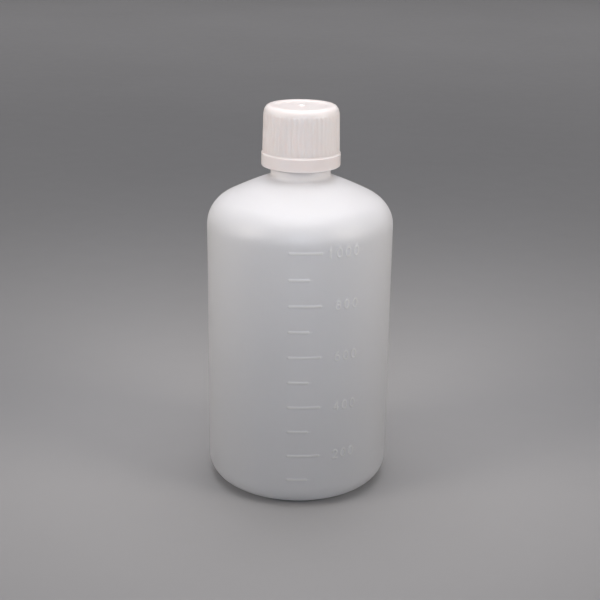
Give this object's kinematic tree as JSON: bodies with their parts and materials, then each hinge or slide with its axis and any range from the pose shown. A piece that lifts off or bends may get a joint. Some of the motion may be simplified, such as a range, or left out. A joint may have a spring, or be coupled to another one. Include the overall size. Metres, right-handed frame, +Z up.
{
  "type": "reagent bottle",
  "caption": "Round narrow-mouth reagent bottle of translucent polyethylene with raised graduations, a push-in inner stopper and a ribbed white screw cap.",
  "frame": {"origin": "centre of the base, level with the standing ring", "axes": "+Z up the bottle's axis towards the cap; -Y towards the front, which carries the graduations; +X towards the long ends of the ticks and the numbers"},
  "size_m": [0.098, 0.0984, 0.2053],
  "materials": {
    "natural_polyethylene": "translucent natural polyethylene, satin from the mould",
    "white_polypropylene": "opaque white, semi-gloss",
    "soft_polyethylene": "milky soft polyethylene, satin",
    "foamed_polyethylene": "white closed-cell foam, matt"
  },
  "bodies": {
    "bottle": {"bottle_body": "natural_polyethylene"},
    "stopper": {"inner_stopper": "soft_polyethylene"},
    "liner": {"cap_liner": "foamed_polyethylene"},
    "cap": {"screw_cap": "white_polypropylene"}
  },
  "joints": [
    {"name": "stopper_lift", "type": "slide", "parent": "bottle", "child": "stopper", "axis": [0, 0, 1], "range_m": [0, 0.0141]},
    {"name": "cap_lift", "type": "slide", "parent": "bottle", "child": "liner", "axis": [0, 0, 1], "range_m": [0, 0.0451]},
    {"name": "cap_turn", "type": "hinge", "parent": "liner", "child": "cap", "pos_m": [0, 0, 0.19], "axis": [0, 0, 1], "range_deg": [0, 3600]}
  ],
  "couplings": [
    {"joint": "cap_lift", "follows": "cap_turn", "m_per_rad": 0.0007162},
    {"joint": "stopper_lift", "follows": "cap_turn", "m_per_rad": 0.00022282}
  ]
}
